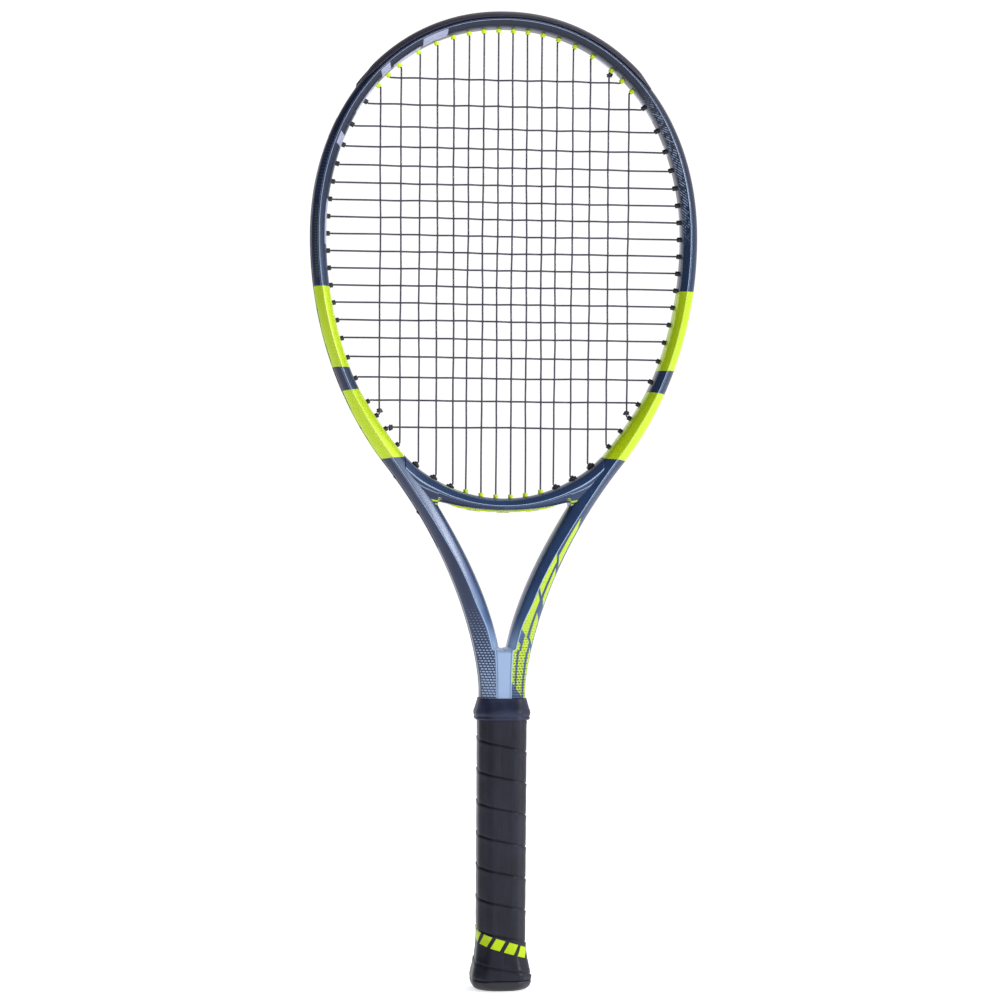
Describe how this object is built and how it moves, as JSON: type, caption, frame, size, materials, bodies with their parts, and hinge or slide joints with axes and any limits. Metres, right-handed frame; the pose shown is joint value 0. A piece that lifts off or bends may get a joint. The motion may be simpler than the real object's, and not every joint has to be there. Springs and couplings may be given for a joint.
{
  "type": "tennis racket",
  "caption": "Tennis racket with a hollow oval hoop, forked throat with bridge, woven string bed, grommet strips and a wrapped eight-sided handle.",
  "frame": {"origin": "centre of the butt cap's flat end, at the bottom middle of the bounding box", "axes": "+Z runs from the butt to the head, the string bed lies in the XZ plane and the front faces -Y"},
  "size_m": [0.2736, 0.0384, 0.6858],
  "materials": {
    "frame_paint": "semi-gloss lacquer over carbon fibre",
    "bumper_nylon": "satin",
    "lime_nylon": "satin",
    "black_nylon": "satin",
    "string": "smooth",
    "foam": "matt",
    "butt_plastic": "satin",
    "staple_steel": "bright",
    "grip_polyurethane": "soft, slightly tacky",
    "tape": "matt",
    "collar_rubber": "matt"
  },
  "bodies": {
    "racket": {"frame_tube": "frame_paint", "throat_bridge": "frame_paint", "bumper_guard": "bumper_nylon", "head_grommet_strip": "lime_nylon", "side_grommet_strip_left": "black_nylon", "side_grommet_strip_right": "black_nylon", "bridge_grommet_strip": "lime_nylon", "yoke_grommet_left_1": "black_nylon", "yoke_grommet_left_2": "black_nylon", "yoke_grommet_left_3": "black_nylon", "yoke_grommet_right_1": "black_nylon", "yoke_grommet_right_2": "black_nylon", "yoke_grommet_right_3": "black_nylon", "main_string": "string", "cross_string": "string", "handle_foam": "foam", "butt_cap": "butt_plastic", "butt_plug": "butt_plastic", "butt_staple_front": "staple_steel", "butt_staple_back": "staple_steel", "grip_staple": "staple_steel", "grip": "grip_polyurethane", "finishing_tape": "tape"},
    "collar": {"grip_collar": "collar_rubber"}
  },
  "joints": [
    {"name": "collar_slide", "type": "slide", "parent": "racket", "child": "collar", "axis": [0, 0, 1], "range_m": [0, 0.006]}
  ]
}
